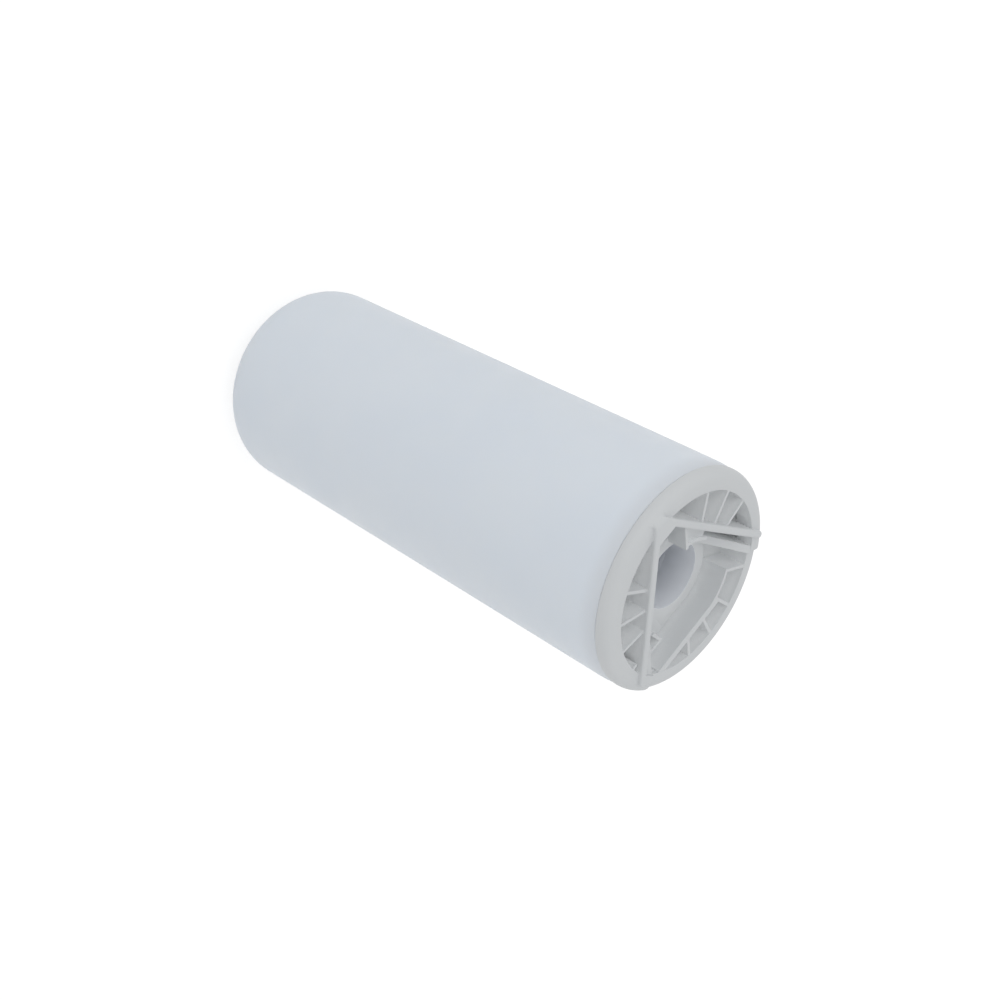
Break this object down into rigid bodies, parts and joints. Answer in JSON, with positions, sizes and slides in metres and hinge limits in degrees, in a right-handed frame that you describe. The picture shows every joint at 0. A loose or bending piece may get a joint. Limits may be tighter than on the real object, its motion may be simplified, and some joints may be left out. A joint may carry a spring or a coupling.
{
  "type": "nitrate removal cartridge",
  "caption": "Sealed round plastic canister of ion exchange resin with a rounded closed end and a ribbed, keyed end cap round a central outlet bore.",
  "frame": {"origin": "centre of the rounded closed end's foot, where the cartridge stands", "axes": "+Z along the canister's axis towards the ribbed connection end; +X from the apex of the two key ribs towards the cross wall; +Y completes the right-handed frame"},
  "size_m": [0.089, 0.089, 0.2328],
  "materials": {
    "shell_plastic": "satin bluish white polypropylene",
    "cap_plastic": "satin grey-white polypropylene",
    "tube_plastic": "satin natural polypropylene",
    "gasket_rubber": "smooth pale silicone rubber",
    "screen_plastic": "satin natural polypropylene",
    "felt": "white polyester felt",
    "resin": "moist amber resin beads"
  },
  "bodies": {
    "root": {"body_shell": "shell_plastic", "end_cap": "cap_plastic", "core_tube": "tube_plastic", "tube_gasket": "gasket_rubber", "upper_screen": "screen_plastic", "upper_felt": "felt", "resin_bed": "resin", "lower_felt": "felt", "lower_screen": "screen_plastic"}
  },
  "joints": []
}
